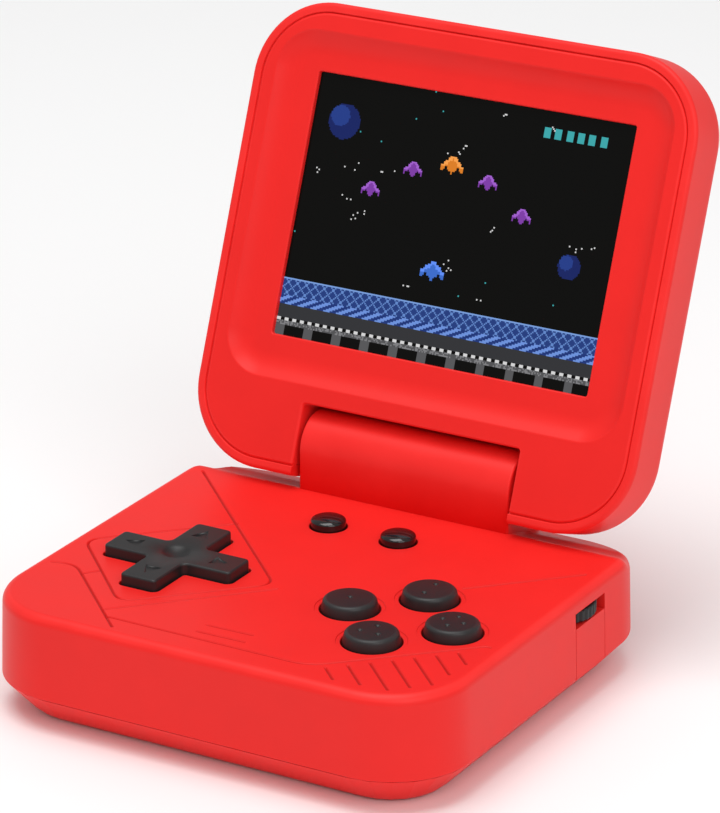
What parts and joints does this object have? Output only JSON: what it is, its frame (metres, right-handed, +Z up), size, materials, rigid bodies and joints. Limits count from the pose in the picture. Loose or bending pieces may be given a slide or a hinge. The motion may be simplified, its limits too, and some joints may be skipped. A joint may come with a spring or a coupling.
{
  "type": "handheld lcd game",
  "caption": "Clamshell handheld game: square base with direction pad and round keys, hinged lid with a recessed colour screen, volume wheel, power switch, battery bay.",
  "frame": {"origin": "middle of the flat face under the base", "axes": "+Z up from the face the game rests on, +X to the player's right, +Y towards the hinge"},
  "size_m": [0.0866, 0.1055, 0.0986],
  "materials": {
    "case_plastic": "satin moulded",
    "key_plastic": "satin moulded",
    "gloss_key": "polished",
    "screen_lens": "clear gloss",
    "lcd_panel": "satin",
    "steel": "satin",
    "contact_brass": "satin",
    "circuit_board": "solder mask",
    "component_black": "matt",
    "ribbon_film": "film",
    "rubber": "matt",
    "cell_wrap": "shrink film"
  },
  "bodies": {
    "base": {"base_top_shell": "case_plastic", "base_bottom_shell": "case_plastic", "base_ribbon_cable": "ribbon_film", "ribbon_connector": "component_black", "hinge_cartridge": "steel", "case_screw_1": "steel", "case_screw_2": "steel", "case_screw_3": "steel", "case_screw_4": "steel", "board_screw_1": "steel", "board_screw_2": "steel", "board_screw_3": "steel", "dpad_membrane": "rubber", "action_membrane": "rubber", "menu_membrane": "rubber", "main_board": "circuit_board", "processor_chip": "component_black", "memory_chip": "component_black", "volume_potentiometer": "component_black", "power_switch": "steel", "video_jack": "component_black", "charge_port": "steel", "battery_pack": "cell_wrap", "battery_contact_block": "component_black", "battery_contact_1": "contact_brass", "battery_contact_2": "contact_brass", "battery_contact_3": "contact_brass", "speaker": "component_black", "speaker_cable": "key_plastic"},
    "lid": {"lid_rear_shell": "case_plastic", "lid_bezel": "case_plastic", "screen_lens": "screen_lens", "lcd_panel": "lcd_panel", "lcd_frame": "steel", "display_board": "circuit_board", "display_ribbon_cable": "ribbon_film", "hinge_shaft": "steel", "hinge_sleeve": "steel", "lid_screw_1": "steel", "lid_screw_2": "steel", "lid_screw_3": "steel", "lid_screw_4": "steel"},
    "dpad_pivot": {"dpad_pivot": "key_plastic"},
    "dpad": {"dpad": "key_plastic"},
    "button_left": {"button_left": "key_plastic"},
    "button_back": {"button_back": "key_plastic"},
    "button_front": {"button_front": "key_plastic"},
    "button_right": {"button_right": "key_plastic"},
    "select_button": {"select_button": "gloss_key"},
    "start_button": {"start_button": "gloss_key"},
    "volume_wheel": {"volume_wheel": "key_plastic"},
    "power_slider": {"power_slider": "key_plastic"},
    "battery_door": {"battery_door": "case_plastic"}
  },
  "joints": [
    {"name": "lid_hinge", "type": "hinge", "parent": "base", "child": "lid", "pos_m": [0, 0.03363, 0.02703], "axis": [1, 0, 0], "range_deg": [0, 111.2]},
    {"name": "dpad_roll", "type": "hinge", "parent": "base", "child": "dpad_pivot", "pos_m": [-0.0216, -0.0098, 0.01705], "axis": [0, -1, 0], "range_deg": [-3, 3], "stiffness_Nm_per_rad": 0.15, "deforming": ["dpad_membrane"]},
    {"name": "dpad_pitch", "type": "hinge", "parent": "dpad_pivot", "child": "dpad", "pos_m": [-0.0216, -0.0098, 0.01705], "axis": [1, 0, 0], "range_deg": [-3, 3], "stiffness_Nm_per_rad": 0.15, "deforming": ["dpad_membrane"]},
    {"name": "button_left_press", "type": "slide", "parent": "base", "child": "button_left", "axis": [0, 0, -1], "range_m": [0, 0.0012], "stiffness_N_per_m": 800, "deforming": ["action_membrane"]},
    {"name": "button_back_press", "type": "slide", "parent": "base", "child": "button_back", "axis": [0, 0, -1], "range_m": [0, 0.0012], "stiffness_N_per_m": 800, "deforming": ["action_membrane"]},
    {"name": "button_front_press", "type": "slide", "parent": "base", "child": "button_front", "axis": [0, 0, -1], "range_m": [0, 0.0012], "stiffness_N_per_m": 800, "deforming": ["action_membrane"]},
    {"name": "button_right_press", "type": "slide", "parent": "base", "child": "button_right", "axis": [0, 0, -1], "range_m": [0, 0.0012], "stiffness_N_per_m": 800, "deforming": ["action_membrane"]},
    {"name": "select_press", "type": "slide", "parent": "base", "child": "select_button", "axis": [0, 0, -1], "range_m": [0, 0.001], "stiffness_N_per_m": 800, "deforming": ["menu_membrane"]},
    {"name": "start_press", "type": "slide", "parent": "base", "child": "start_button", "axis": [0, 0, -1], "range_m": [0, 0.001], "stiffness_N_per_m": 800, "deforming": ["menu_membrane"]},
    {"name": "volume_turn", "type": "hinge", "parent": "base", "child": "volume_wheel", "pos_m": [0.03635, 0.015, 0.01622], "axis": [0, 0, 1], "range_deg": [-135, 135]},
    {"name": "power_slide", "type": "slide", "parent": "base", "child": "power_slider", "axis": [0, -1, 0], "range_m": [0, 0.003]},
    {"name": "battery_door_slide", "type": "slide", "parent": "base", "child": "battery_door", "axis": [0, 1, 0], "range_m": [0, 0.012]}
  ]
}
